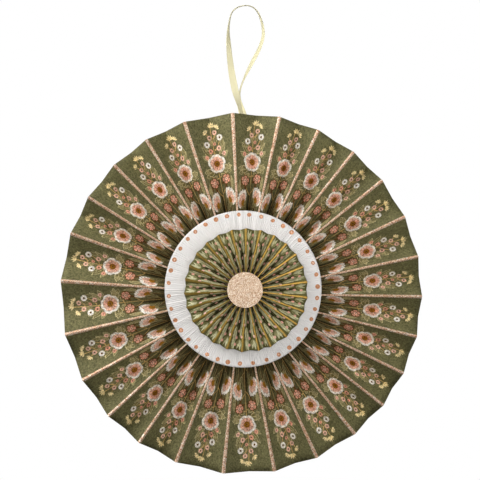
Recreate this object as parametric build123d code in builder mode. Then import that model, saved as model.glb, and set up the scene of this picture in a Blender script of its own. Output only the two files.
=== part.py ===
from build123d import *
from math import atan, cos, degrees, hypot, pi, radians, sin, sqrt, tan
import os

os.makedirs("parts", exist_ok=True)

# Paper fan medallion, hung upright. Millimetres, +Z up. The discs stand in the
# XZ plane and their front faces -Y. The origin is the centre of the large fan,
# on the rear face of the card disc behind it, so the whole object is at y <= 0.
# "Height" below is the distance in front of that rear face (height = -y), and
# angles are clock angles seen from the front: 0 is up, 90 is to the right.

# ---- large fan: two pleated strips that each close half of the circle ----
fan_paper = 0.25
fan_rim = 152.5          # radius of the ridge tips
fan_hub = 8.0            # radius where the pleats are packed tight
fan_pleat = 25.4         # width of one panel, fold to fold
fan_front = 26.65        # height of the ridges, level from hub to rim
fan_ridges = [12.3, 25.3, 38.5, 51.3, 64.9, 78.2, 91.0, 103.8, 116.2, 128.2,
              141.0, 155.2, 169.3, 185.7, 201.2, 214.4, 227.3, 241.3, 256.8,
              274.0, 289.4, 302.2, 315.3, 328.3, 341.6, 357.3]
strip_split = 13         # ridges on the right-hand strip
lap_width = 10.0         # glued lap at each end of a strip
lap_inner = 31.0         # the lap is cut short of the hub
glue = 0.04              # glue film inside a lap

# ---- white fluted disc: flat centre, fine flutes that deepen to the rim ----
white_x, white_z = 1.6, 3.8
white_paper = 0.12
white_rim = 66.1
white_flat = 25.0        # radius of the flat centre
white_flat_t = 0.20
white_sectors = 39
white_flutes = 6         # flutes in each sector
white_depth = 1.0        # flute depth at the rim
white_base = fan_front   # it is glued on the large fan's ridges
white_front = 27.95      # height of its flute tops at the rim

# ---- small fan: one pleated strip closed by its own lap ----
small_x, small_z = 4.0, 3.0
small_paper = 0.22
small_rim = 52.0
small_hub = 5.0
small_pleat = 11.0
small_lean = 0.10        # the rim edges lean in by this much per mm of depth
small_front_hub = 39.60
small_front_rim = 38.80
small_ridges = [0.8, 14.4, 28.0, 41.5, 54.6, 68.0, 82.5, 97.0, 110.4, 124.0,
                139.0, 156.5, 168.0, 184.0, 198.5, 212.5, 226.3, 239.7, 253.8,
                267.2, 280.8, 293.9, 307.6, 321.1, 333.6, 347.3]
small_lap_gore = 10      # the lap lies in the valley after this ridge
small_lap = 4.5
small_lap_inner = 20.0

# ---- card discs ----
back_r, back_t = 30.0, 1.0
pad_r, pad_t = 22.0, 1.50
centre_x, centre_z = 3.2, 3.2
centre_r, centre_t = 15.0, 0.6

# ---- satin ribbon loop: its route (x, height, z) and its turn about it ----
ribbon_w, ribbon_t = 6.0, 0.25
ribbon_route = [(6.6, 12.95, 130.0), (2.1, 15.9, 145.9), (-2.2, 16.7, 160.4),
                (-5.7, 17.0, 173.7), (-8.7, 17.0, 190.2), (-10.8, 16.4, 210.4),
                (-11.1, 16.0, 225.6), (-7.2, 15.8, 242.3), (12.2, 15.8, 244.5),
                (20.0, 15.6, 222.4), (16.4, 15.3, 208.3), (8.4, 14.5, 194.0),
                (0.2, 12.5, 177.6), (-2.7, 10.9, 164.0), (3.5, 11.7, 145.6),
                (8.0, 10.95, 130.0)]
ribbon_turn = [45.6, 61, 60, 8, 30, 48, 78, 87, 89, 67, 61, 55, 82, 70, -34, -45.6]


def out(clock):
    """Unit vector from the centre towards a clock angle."""
    return Vector(sin(radians(clock)), 0, cos(radians(clock)))


def section_plane(clock, distance, cx=0.0, cz=0.0):
    """Plane square to a clock direction. Its x runs clockwise, its y is height."""
    p = out(clock) * distance
    return Plane(origin=(p.X + cx, 0, p.Z + cz),
                 x_dir=(cos(radians(clock)), 0, -sin(radians(clock))),
                 z_dir=(-sin(radians(clock)), 0, -cos(radians(clock))))


def leaning_plane(clock, radius, gap, front, cx, cz):
    """The plane of a gore's rim when the valleys end nearer the centre than the
    ridge tips. Its origin is level with the ridges."""
    p = out(clock) * radius * cos(radians(gap / 2))
    b = atan(small_lean * cos(radians(gap / 2)))
    z = out(clock) * -cos(b) + Vector(0, -1, 0) * sin(b)
    return Plane(origin=(p.X + cx, -front, p.Z + cz),
                 x_dir=(cos(radians(clock)), 0, -sin(radians(clock))), z_dir=z)


def leaned(pts, half, gap, front):
    """Moves a profile into that plane, with its ridge ends on the ridge lines."""
    b = atan(small_lean * cos(radians(gap / 2)))
    moved = []
    for u, h in pts:
        if abs(abs(u) - half) < 1e-9:
            u = (1 if u > 0 else -1) * (half - (front - h) * small_lean * sin(radians(gap / 2)))
        moved.append((u, (h - front) / cos(b)))
    return moved


crease = 0.05            # half of the blunt width at a fold


def panel_turns(half, depth, t):
    """Extra half width of a fold's outside over its inside."""
    extra = 0.1
    for _ in range(30):
        slope = atan(depth / (half - 2 * crease - extra))
        extra = t * tan(slope / 2)
    return extra


def gore(half, front, depth, t, which):
    """Profile of one valley between two ridges, or of its left or right half."""
    e = panel_turns(half, depth, t)
    low = front - depth - t
    right = [(crease + e, low), (half - crease, front - t), (half, front - t),
             (half, front), (half - crease - e, front), (crease, low + t)]
    if which == "right":
        return [(0, low)] + right + [(0, low + t)]
    left = [(-u, h) for u, h in reversed(right)]
    if which == "left":
        return [(0, low + t)] + left + [(0, low)]
    return right + left


def lap(half, front, depth, t, width, side):
    """Profile of a glued lap: it wraps the valley's rear and lies behind the
    neighbouring panel, on the right (side 1) or on the left (side -1)."""
    e = panel_turns(half, depth, t)
    low = front - depth - t
    run = half - 2 * crease - e
    length = hypot(run, depth)
    cu, ch = run / length, depth / length
    turn = e / t
    near = (crease + e + glue * turn, low - glue)
    far = (crease + e + (glue + t) * turn, low - glue - t)
    pts = [(-crease - e, low), (0, low), (0, low - glue), near,
           (near[0] + cu * width, near[1] + ch * width),
           (far[0] + cu * width, far[1] + ch * width), far,
           (-crease - e, low - glue - t)]
    return [(side * u, h) for u, h in pts]


def depth_at(pleat, radius, gap):
    half = radius * sin(radians(gap / 2))
    return half, sqrt(pleat ** 2 - half ** 2)


def between(a, b, s):
    return [(p[0] + (q[0] - p[0]) * s, p[1] + (q[1] - p[1]) * s) for p, q in zip(a, b)]


def gores(ridges):
    """Middle clock angle and width of the valley after each ridge."""
    found = []
    for i, a in enumerate(ridges):
        b = ridges[(i + 1) % len(ridges)]
        gap = (b - a) % 360
        found.append(((a + gap / 2) % 360, gap))
    return found


def fan_ends(mid, gap, which):
    """The inner and the outer section of one gore of the large fan."""
    ends = []
    for r in (fan_hub, fan_rim):
        half, depth = depth_at(fan_pleat, r, gap)
        ends.append((section_plane(mid, r * cos(radians(gap / 2))),
                     gore(half, fan_front, depth, fan_paper, which)))
    return ends


def fan_lap(mid, gap, side):
    """The lap's sections, from where it is cut short of the hub to the rim."""
    a, b = (lap(*depth_at(fan_pleat, r, gap)[:1], fan_front,
                depth_at(fan_pleat, r, gap)[1], fan_paper, lap_width, side)
            for r in (fan_hub, fan_rim))
    near, far = (r * cos(radians(gap / 2)) for r in (fan_hub, fan_rim))
    s = (lap_inner - near) / (far - near)
    return [(section_plane(mid, lap_inner), between(a, b, s)),
            (section_plane(mid, far), b)]


fan_gores = gores(fan_ridges)
right_full = fan_gores[:strip_split - 1]
left_full = fan_gores[strip_split:-1]
foot_seam = fan_gores[strip_split - 1]
head_seam = fan_gores[-1]

# ---------------------------------------------------------------- the pieces
with BuildPart() as large_fan_right:
    jobs = [fan_ends(*head_seam, "right")]
    jobs += [fan_ends(m, g, "full") for m, g in right_full]
    jobs += [fan_ends(*foot_seam, "left"), fan_lap(*foot_seam, 1)]
    for job in jobs:
        for plane, pts in job:
            with BuildSketch(plane):
                with BuildLine():
                    Polyline(*pts, close=True)
                make_face()
        loft(ruled=True)

with BuildPart() as large_fan_left:
    jobs = [fan_ends(*foot_seam, "right")]
    jobs += [fan_ends(m, g, "full") for m, g in left_full]
    jobs += [fan_ends(*head_seam, "left"), fan_lap(*head_seam, 1)]
    for job in jobs:
        for plane, pts in job:
            with BuildSketch(plane):
                with BuildLine():
                    Polyline(*pts, close=True)
                make_face()
        loft(ruled=True)


def flute_profile(half, front, depth, t, which):
    """Zigzag of one sector of the white disc: its tops, then its underside."""
    n = white_flutes
    tops = [-half + 2 * half * (j + 0.16 * sin(1.9 * (which * n + j)) * (0 < j < n)) / n
            for j in range(n + 1)]
    over = [(tops[0], front)]
    for a, b in zip(tops, tops[1:]):
        wide = (b - a) / (2 * half / n)
        over += [((a + b) / 2, front - depth * (0.55 + 0.45 * wide)), (b, front)]
    under = [(u, h - t) for u, h in reversed(over)]
    return over + under


sector = 360 / white_sectors
slope = atan(white_depth / (white_rim * pi / (white_sectors * white_flutes)))
flute_sections = []
for i in range(white_sectors):
    pair = []
    for r, front, depth, t in (
            (white_flat, white_base + white_flat_t - 0.03, 0.02, white_paper),
            (white_rim, white_front, white_depth, white_paper / cos(slope))):
        half = r * sin(radians(sector / 2))
        plane = section_plane(sector * (i + 0.5), r * cos(radians(sector / 2)),
                              white_x, white_z)
        with BuildLine(plane) as outline:
            Polyline(*flute_profile(half, front, depth, t, i), close=True)
        pair.append(make_face(outline.edges(), mode=Mode.PRIVATE))
    flute_sections.append(pair)
with BuildPart() as white_fluted_disc:
    with BuildSketch(Plane(origin=(white_x, -white_base, white_z),
                           x_dir=(1, 0, 0), z_dir=(0, -1, 0))):
        with BuildLine():
            Polyline(*[((white_flat + 0.5) * sin(radians(sector * i)),
                        (white_flat + 0.5) * cos(radians(sector * i)))
                       for i in range(white_sectors)], close=True)
        make_face()
    extrude(amount=white_flat_t)
    add([loft(sections=pair, ruled=True, mode=Mode.PRIVATE) for pair in flute_sections])

small_gores = gores(small_ridges)


def small_ends(mid, gap, profile):
    """Hub section, level with the object's axis, and the leaning rim section."""
    hub_half, hub_depth = depth_at(small_pleat, small_hub, gap)
    rim_half, rim_depth = depth_at(small_pleat, small_rim, gap)
    return [(section_plane(mid, small_hub * cos(radians(gap / 2)), small_x, small_z),
             profile(hub_half, small_front_hub, hub_depth)),
            (leaning_plane(mid, small_rim, gap, small_front_rim, small_x, small_z),
             leaned(profile(rim_half, small_front_rim, rim_depth), rim_half, gap,
                    small_front_rim))]


with BuildPart() as small_fan:
    for mid, gap in small_gores:
        for plane, pts in small_ends(
                mid, gap, lambda half, front, depth: gore(half, front, depth, small_paper, "full")):
            with BuildSketch(plane):
                with BuildLine():
                    Polyline(*pts, close=True)
                make_face()
        loft(ruled=True)
    mid, gap = small_gores[small_lap_gore]
    (near, inner), (far, rim) = small_ends(
        mid, gap, lambda half, front, depth: lap(half, front, depth, small_paper, small_lap, 1))
    at = []
    for (u, h), (v, k) in zip(inner, rim):
        a, b = near.from_local_coords((u, h, 0)), far.from_local_coords((v, k, 0))
        reach = [(p - Vector(small_x, 0, small_z)).dot(out(mid)) for p in (a, b)]
        at.append(a + (b - a) * ((small_lap_inner - reach[0]) / (reach[1] - reach[0])))
    cut = section_plane(mid, small_lap_inner, small_x, small_z)
    at = [cut.to_local_coords(p) for p in at]
    for plane, pts in ((cut, [(p.X, p.Y) for p in at]), (far, rim)):
        with BuildSketch(plane):
            with BuildLine():
                Polyline(*pts, close=True)
            make_face()
    loft(ruled=True)


def front_plane(height, cx=0.0, cz=0.0):
    return Plane(origin=(cx, -height, cz), x_dir=(1, 0, 0), z_dir=(0, -1, 0))


with BuildPart() as back_disc:
    with BuildSketch(front_plane(0)):
        Circle(back_r)
    extrude(amount=back_t)
    chamfer(back_disc.faces().sort_by(Axis.Y)[-1].edges(), 0.1)

with BuildPart() as small_fan_pad:
    with BuildSketch(front_plane(white_base + white_flat_t, small_x, small_z)):
        Circle(pad_r)
    extrude(amount=pad_t)

with BuildPart() as centre_disc:
    with BuildSketch(front_plane(small_front_hub, centre_x, centre_z)):
        Circle(centre_r)
    extrude(amount=centre_t)
    chamfer(centre_disc.faces().sort_by(Axis.Y)[0].edges(), 0.12)

# The ribbon is one flat band. Its route is straight runs joined by tangent arcs,
# and each section is turned about the route, so the band lies flat behind the
# pleat, faces the front where it leaves the rim, and is edge-on at the top.
points = [Vector(x, -h, z) for x, h, z in ribbon_route]
runs = [points[i + 1] - points[i] for i in range(len(points) - 1)]
radii = []
for a, b in zip(runs, runs[1:]):
    radii.append(0.45 * min(a.length, b.length) / tan(radians(a.get_angle(b)) / 2))
print("ribbon radii", [round(r, 1) for r in radii])
print("ribbon runs", [round(v.length, 1) for v in runs])
with BuildLine() as ribbon_path:
    FilletPolyline(*points, radius=radii)
wire = ribbon_path.wire()
along = [0.0]
for v in runs:
    along.append(along[-1] + v.length)
stations = 72
with BuildPart() as hanging_ribbon:
    for i in range(stations + 1):
        s = i / stations
        place, tangent = wire @ s, wire % s
        at = s * along[-1]
        k = max(j for j in range(len(along) - 1) if along[j] <= at + 1e-9)
        f = min(1.0, (at - along[k]) / (along[k + 1] - along[k]))
        f = f * f * (3 - 2 * f)
        turn = radians(ribbon_turn[k] * (1 - f) + ribbon_turn[k + 1] * f)
        side = Vector(tangent.Z, 0, -tangent.X).normalized()
        across = side * cos(turn) + Vector(0, 1, 0) * sin(turn)
        across = (across - tangent * across.dot(tangent)).normalized()
        with BuildSketch(Plane(origin=place, x_dir=across, z_dir=tangent)):
            Rectangle(ribbon_w, ribbon_t)
    loft(ruled=True)
print("ribbon length", round(wire.length, 1), "volume", round(hanging_ribbon.part.volume, 1),
      "section x length", round(wire.length * ribbon_w * ribbon_t, 1))

# ---------------------------------------------------------------- write them
for name, piece in (("large_fan_right", large_fan_right),
                    ("large_fan_left", large_fan_left),
                    ("white_fluted_disc", white_fluted_disc),
                    ("small_fan", small_fan),
                    ("small_fan_pad", small_fan_pad),
                    ("centre_disc", centre_disc),
                    ("back_disc", back_disc),
                    ("hanging_ribbon", hanging_ribbon)):
    piece.part.label = name
    export_step(piece.part, f"parts/{name}.step")
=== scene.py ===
import bpy
import random
from math import asin, atan, cos, degrees, hypot, pi, radians, sin, sqrt, tan

import numpy as np
from mathutils import Matrix, Vector
from mathutils.geometry import delaunay_2d_cdt


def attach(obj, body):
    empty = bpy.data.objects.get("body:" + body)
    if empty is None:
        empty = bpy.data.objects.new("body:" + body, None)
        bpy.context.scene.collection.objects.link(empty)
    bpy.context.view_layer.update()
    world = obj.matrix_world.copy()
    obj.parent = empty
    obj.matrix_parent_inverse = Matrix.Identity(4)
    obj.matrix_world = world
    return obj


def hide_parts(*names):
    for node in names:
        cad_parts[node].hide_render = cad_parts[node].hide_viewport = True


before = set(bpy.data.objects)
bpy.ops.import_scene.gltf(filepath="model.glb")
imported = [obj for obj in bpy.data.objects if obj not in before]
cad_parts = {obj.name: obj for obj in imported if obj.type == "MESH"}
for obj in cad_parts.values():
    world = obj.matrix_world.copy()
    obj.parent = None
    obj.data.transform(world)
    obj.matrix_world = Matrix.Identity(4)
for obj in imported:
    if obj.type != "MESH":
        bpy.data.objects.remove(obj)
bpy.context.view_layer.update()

# A hanging paper fan medallion. Lengths below are millimetres and are written
# to the meshes in metres. Clock angles: 0 is up, 90 is to the right, seen from
# the front. "Height" is the distance in front of the back disc's rear face,
# so a point's y is minus its height.
MM = 0.001
scene = bpy.context.scene
root_collection = scene.collection


def linear(r, g, b):
    """Linear colour from 0-255 display values."""
    out = []
    for c in (r, g, b):
        c = c / 255
        out.append(c / 12.92 if c <= 0.04045 else ((c + 0.055) / 1.055) ** 2.4)
    return tuple(out)


# ------------------------------------------------------------------ camera
camera_data = bpy.data.cameras.new("camera")
camera = bpy.data.objects.new("camera", camera_data)
root_collection.objects.link(camera)
camera_far = 2.3
camera.location = (-0.0010, -camera_far - 0.026, 0.0451)
camera.rotation_euler = (radians(90), 0, 0)
camera_data.sensor_fit = "HORIZONTAL"
camera_data.sensor_width = 36
camera_data.lens = 36 * camera_far / 0.4044
camera_data.clip_start, camera_data.clip_end = 0.05, 50
scene.camera = camera
scene.view_settings.view_transform = "Standard"
scene.view_settings.look = "None"
scene.view_settings.exposure = 0
scene.view_settings.gamma = 1

# ------------------------------------------------------------------ ribbon
ribbon_w, ribbon_t = 6.0, 0.25
ribbon_route = [(6.6, 12.95, 130.0), (2.1, 15.9, 145.9), (-2.2, 16.7, 160.4),
                (-5.7, 17.0, 173.7), (-8.7, 17.0, 190.2), (-10.8, 16.4, 210.4),
                (-11.1, 16.0, 225.6), (-7.2, 15.8, 242.3), (12.2, 15.8, 244.5),
                (20.0, 15.6, 222.4), (16.4, 15.3, 208.3), (8.4, 14.5, 194.0),
                (0.2, 12.5, 177.6), (-2.7, 10.9, 164.0), (3.5, 11.7, 145.6),
                (8.0, 10.95, 130.0)]
ribbon_turn = [45.6, 61, 60, 8, 30, 48, 78, 87, 89, 67, 61, 55, 82, 70, -34, -45.6]


def spline_points(points, name):
    """Points along the smooth line that has these control points."""
    data = bpy.data.curves.new(name, "CURVE")
    data.dimensions = "3D"
    line = data.splines.new("NURBS")
    line.points.add(len(points) - 1)
    for p, q in zip(line.points, points):
        p.co = (*q, 1.0)
    line.order_u = 3
    line.use_endpoint_u = True
    data.resolution_u = 20
    carrier = bpy.data.objects.new(name, data)
    root_collection.objects.link(carrier)
    bpy.context.view_layer.update()
    mesh = bpy.data.meshes.new_from_object(carrier)
    found = np.array([v.co for v in mesh.vertices], float)
    bpy.data.meshes.remove(mesh)
    bpy.data.objects.remove(carrier)
    bpy.data.curves.remove(data)
    return found


ribbon_path = spline_points([(x * MM, -h * MM, z * MM) for x, h, z in ribbon_route], "route")
turn_path = spline_points([(t * 0.01, 0, 0) for t in ribbon_turn], "turn")[:, 0] * 100


def band(path, turns):
    """The flat band that follows the path, with a fine raised selvage."""
    across_n = 12
    along = np.gradient(path, axis=0)
    along /= np.linalg.norm(along, axis=1)[:, None]
    side = np.stack([along[:, 2], 0 * turns, -along[:, 0]], 1)
    side /= np.linalg.norm(side, axis=1)[:, None]
    a = side * np.cos(np.radians(turns))[:, None]
    a += np.array([0, 1.0, 0]) * np.sin(np.radians(turns))[:, None]
    a -= along * (a * along).sum(1)[:, None]
    a /= np.linalg.norm(a, axis=1)[:, None]
    up = np.cross(along, a)
    w = np.concatenate([[-1, -0.985, -0.93], np.linspace(-0.8, 0.8, across_n - 3), [0.93, 0.985, 1]])
    thick = np.where(np.abs(w) > 0.95, 0.5, 0.36) * ribbon_t
    thick[[0, -1]] = 0.22 * ribbon_t
    s = np.concatenate([[0], np.cumsum(np.linalg.norm(np.diff(path, axis=0), axis=1))])
    cup = 0.10 * (1 - w ** 2)[None, :] * (0.6 + 0.4 * np.sin(s * 60))[:, None]
    base = path[:, None] + a[:, None] * (w * ribbon_w / 2 * MM)[None, :, None]
    base = base + up[:, None] * (cup * MM)[..., None]
    top = base + up[:, None] * (thick * MM)[None, :, None]
    low = base - up[:, None] * (thick * MM)[None, :, None]
    n, m = len(path), len(w)
    ring = np.concatenate([top, low[:, ::-1]], 1)
    verts = ring.reshape(-1, 3)
    faces = []
    k = 2 * m
    for i in range(n - 1):
        for j in range(k):
            faces.append((i * k + j, i * k + (j + 1) % k, (i + 1) * k + (j + 1) % k, (i + 1) * k + j))
    for i, flip in ((0, True), (n - 1, False)):
        for j in range(m - 1):
            f = (i * k + j, i * k + j + 1, i * k + k - 2 - j, i * k + k - 1 - j)
            faces.append(tuple(reversed(f)) if flip else f)
    uv_s = np.repeat(s / MM, k)
    uv_w = np.tile(np.concatenate([w, w[::-1]]), n)
    return verts, faces, np.stack([uv_s, uv_w * ribbon_w / 2], 1)


ribbon_verts, ribbon_faces, ribbon_uv = band(ribbon_path, turn_path)
ribbon_mesh = bpy.data.meshes.new("hanging_ribbon_satin")
ribbon_mesh.from_pydata(ribbon_verts.tolist(), [], ribbon_faces)
ribbon_layer = ribbon_mesh.uv_layers.new(name="along")
ribbon_loops = np.zeros(len(ribbon_mesh.loops), np.int32)
ribbon_mesh.loops.foreach_get("vertex_index", ribbon_loops)
ribbon_layer.data.foreach_set("uv", (ribbon_uv[ribbon_loops] * 0.01).astype(np.float32).ravel())
ribbon_mesh.polygons.foreach_set("use_smooth", [True] * len(ribbon_mesh.polygons))
ribbon = bpy.data.objects.new("hanging_ribbon_satin", ribbon_mesh)
root_collection.objects.link(ribbon)
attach(ribbon, "root")
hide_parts("hanging_ribbon")

# --------------------------------------------------------------- materials


class Nodes:
    """A short way to build a material's nodes."""

    def __init__(self, name):
        self.material = bpy.data.materials.new(name)
        self.material.use_nodes = True
        self.tree = self.material.node_tree
        self.tree.nodes.clear()
        self.out = self.tree.nodes.new("ShaderNodeOutputMaterial")
        self.shader = self.tree.nodes.new("ShaderNodeBsdfPrincipled")
        self.tree.links.new(self.shader.outputs[0], self.out.inputs["Surface"])

    def set(self, node, inputs):
        for key, value in inputs.items():
            socket = node.inputs[key]
            if isinstance(value, bpy.types.NodeSocket):
                self.tree.links.new(value, socket)
            else:
                socket.default_value = value
        return node

    def node(self, kind, inputs=None, **settings):
        n = self.tree.nodes.new("ShaderNode" + kind)
        for key, value in settings.items():
            setattr(n, key, value)
        return self.set(n, inputs or {})

    def place(self, scale=(1, 1, 1)):
        """Object coordinates in millimetres."""
        at = self.node("TexCoord")
        m = self.node("Mapping", {"Vector": at.outputs["Object"],
                                  "Scale": tuple(1000 * s for s in scale)})
        return m.outputs[0]

    def noise(self, at, size, detail=2.0, rough=0.5, lacunarity=2.0):
        n = self.node("TexNoise", {"Vector": at, "Scale": 1 / size, "Detail": detail,
                                   "Roughness": rough, "Lacunarity": lacunarity})
        return n.outputs["Fac"]

    def span(self, value, a, b, lo, hi, smooth=False):
        n = self.node("MapRange", {"Value": value, "From Min": a, "From Max": b,
                                   "To Min": lo, "To Max": hi},
                      interpolation_type="SMOOTHSTEP" if smooth else "LINEAR")
        return n.outputs[0]

    def math(self, kind, a, b=0.0):
        return self.node("Math", {0: a, 1: b}, operation=kind).outputs[0]

    def mix(self, fac, a, b, blend="MIX"):
        n = self.tree.nodes.new("ShaderNodeMix")
        n.data_type = "RGBA"
        n.blend_type = blend
        for key, value in ((0, fac), (6, a), (7, b)):
            socket = n.inputs[key]
            if isinstance(value, bpy.types.NodeSocket):
                self.tree.links.new(value, socket)
            elif key:
                socket.default_value = (*value[:3], 1.0)
            else:
                socket.default_value = value
        return n.outputs[2]

    def grey(self, value):
        n = self.node("CombineColor", {0: value, 1: value, 2: value})
        return n.outputs[0]

    def bump(self, height, distance, strength=1.0, over=None):
        inputs = {"Height": height, "Distance": distance * MM, "Strength": strength}
        if over is not None:
            inputs["Normal"] = over
        return self.node("Bump", inputs).outputs[0]

    def attribute(self, name):
        return self.node("Attribute", attribute_name=name, attribute_type="GEOMETRY").outputs["Color"]


def printed_paper(name, soft=0.10, blotch=0.12, gain=1.0):
    """Matt, faintly suede-like paper that wears its print in its own colour."""
    m = Nodes(name)
    at = m.place()
    ink = m.attribute("ink")
    cloud = m.noise(at, 9.0, 4.0, 0.62)
    speck = m.noise(at, 0.9, 3.0, 0.6)
    fibre = m.noise(at, 0.22, 2.0, 0.5)
    mottle = m.noise(at, 1.6, 2.0, 0.75)
    tone = m.math("MULTIPLY", m.span(cloud, 0.3, 0.7, gain * (1 - blotch), gain * (1 + blotch)),
                  m.span(speck, 0.3, 0.7, 1 - soft * 1.4, 1 + soft * 1.4))
    tone = m.math("MULTIPLY", tone, m.span(mottle, 0.3, 0.7, 1 - soft * 3.6, 1 + soft * 3.6))
    tone = m.math("MULTIPLY", tone, m.span(fibre, 0.3, 0.7, 1 - soft, 1 + soft))
    colour = m.mix(1.0, ink, m.grey(tone), "MULTIPLY")
    rough = m.span(speck, 0.3, 0.7, 0.62, 0.86)
    height = m.math("ADD", m.math("MULTIPLY", speck, 0.7), m.math("MULTIPLY", fibre, 0.45))
    m.set(m.shader, {"Base Color": colour, "Roughness": rough, "Specular IOR Level": 0.28,
                     "Normal": m.bump(height, 0.05)})
    return m.material


def glitter(name, dark, mid, pale, grain, metal=0.75, spread=0.55, dull=0.30):
    """Fine flakes in clear lacquer: each cell has its own tilt, tone and gloss."""
    m = Nodes(name)
    at = m.place()
    cells = m.node("TexVoronoi", {"Vector": at, "Scale": 1 / grain, "Randomness": 1.0},
                   feature="F1")
    pick = m.node("SeparateColor", {0: cells.outputs["Color"]})
    tone = pick.outputs[0]
    a = m.mix(m.span(tone, 0.0, 0.55, 0, 1), dark, mid)
    colour = m.mix(m.span(tone, 0.55, 1.0, 0, 1), a, pale)
    gloss = m.span(pick.outputs[1], 0, 1, dull, 0.62)
    tilt = m.node("VectorMath", {0: cells.outputs["Color"], 1: (0.5, 0.5, 0.5)},
                  operation="SUBTRACT").outputs[0]
    tilt = m.node("VectorMath", {0: tilt, "Scale": spread}, operation="SCALE").outputs[0]
    face = m.node("NewGeometry").outputs["Normal"]
    normal = m.node("VectorMath", {0: face, 1: tilt}, operation="ADD").outputs[0]
    normal = m.node("VectorMath", {0: normal}, operation="NORMALIZE").outputs[0]
    m.set(m.shader, {"Base Color": colour, "Metallic": metal, "Roughness": gloss,
                     "Normal": normal})
    return m.material


def plain_paper(name, colour, blotch=0.03, fibre_depth=0.04, rough=(0.75, 0.92), level=0.3):
    m = Nodes(name)
    at = m.place()
    cloud = m.noise(at, 14.0, 3.0, 0.5)
    pulp = m.noise(at, 0.5, 4.0, 0.65)
    tone = m.math("MULTIPLY", m.span(cloud, 0.3, 0.7, 1 - blotch, 1 + blotch),
                  m.span(pulp, 0.3, 0.7, 1 - blotch, 1 + blotch))
    tint = m.mix(1.0, colour, m.grey(tone), "MULTIPLY")
    m.set(m.shader, {"Base Color": tint, "Roughness": m.span(pulp, 0.3, 0.7, *rough),
                     "Specular IOR Level": level, "Normal": m.bump(pulp, fibre_depth)})
    return m.material


def board(name, colour):
    """Grey recycled board with darker and paler fibres."""
    m = Nodes(name)
    at = m.place()
    pulp = m.noise(at, 0.8, 5.0, 0.7)
    cells = m.node("TexVoronoi", {"Vector": m.place((1, 1, 0.3)), "Scale": 1 / 1.6,
                                  "Randomness": 1.0}, feature="F1")
    fleck = m.span(cells.outputs["Distance"], 0.0, 0.16, 0.72, 1.0)
    tone = m.math("MULTIPLY", m.span(pulp, 0.3, 0.7, 0.86, 1.1), fleck)
    m.set(m.shader, {"Base Color": m.mix(1.0, colour, m.grey(tone), "MULTIPLY"),
                     "Roughness": m.span(pulp, 0.3, 0.7, 0.8, 0.95),
                     "Specular IOR Level": 0.2, "Normal": m.bump(pulp, 0.08)})
    return m.material


def satin(name, body, edge):
    """Satin weave: long floats along the band, a plainer selvage."""
    m = Nodes(name)
    uv = m.node("UVMap", uv_map="along").outputs[0]
    mm = m.node("VectorMath", {0: uv, "Scale": 100.0}, operation="SCALE").outputs[0]
    parts = m.node("SeparateXYZ", {0: mm})
    along, across = parts.outputs[0], parts.outputs[1]
    stretched = m.node("CombineXYZ", {0: m.math("MULTIPLY", along, 0.35),
                                      1: m.math("MULTIPLY", across, 7.0)}).outputs[0]
    floats = m.node("TexNoise", {"Vector": stretched, "Scale": 1.0, "Detail": 3.0,
                                 "Roughness": 0.6}).outputs["Fac"]
    rib = m.math("SINE", m.math("MULTIPLY", along, 2 * pi / 0.28))
    near_edge = m.span(m.math("ABSOLUTE", across), 2.45, 2.75, 0, 1, True)
    colour = m.mix(near_edge, body, edge)
    colour = m.mix(1.0, colour, m.grey(m.span(floats, 0.25, 0.75, 0.94, 1.05)), "MULTIPLY")
    height = m.math("ADD", floats, m.math("MULTIPLY", rib, m.span(near_edge, 0, 1, 0.06, 0.15)))
    m.set(m.shader, {"Base Color": colour,
                     "Roughness": m.math("ADD", m.span(floats, 0.25, 0.75, 0.34, 0.46),
                                         m.math("MULTIPLY", near_edge, 0.25)),
                     "Specular IOR Level": 0.3, "Sheen Weight": 0.25, "Sheen Roughness": 0.4,
                     "Normal": m.bump(height, 0.003)})
    return m.material


olive = linear(117, 114, 76)
floral_print = printed_paper("floral_print", 0.15, gain=0.87)
leaf_print = printed_paper("leaf_print", 0.08, 0.08, gain=0.95)
rose_glitter = glitter("rose_glitter", linear(156, 100, 70), linear(240, 198, 162),
                       linear(255, 250, 238), 0.7, metal=0.3)
champagne_glitter = glitter("champagne_glitter", linear(180, 140, 106), linear(222, 192, 162),
                            linear(255, 246, 230), 0.6, metal=0.3)
paper_back = plain_paper("paper_back", linear(232, 228, 218))
white_paper = plain_paper("white_paper", linear(234, 233, 232), 0.012, 0.02)
copper_foil = glitter("copper_foil", linear(160, 98, 60), linear(204, 146, 104),
                      linear(228, 174, 134), 0.3, metal=0.35, spread=0.25)
copper_centre = glitter("copper_centre", linear(214, 160, 126), linear(232, 188, 158),
                        linear(248, 222, 202), 0.3, metal=0.3, spread=0.25)
grey_board = board("grey_board", linear(150, 148, 142))
plain_card = plain_paper("plain_card", linear(241, 236, 226), 0.04, 0.05)
satin_straw = satin("satin_straw", linear(247, 242, 202), linear(238, 232, 192))
ribbon.data.materials.append(satin_straw)

# ------------------------------------------------------------------ meshes


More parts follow.
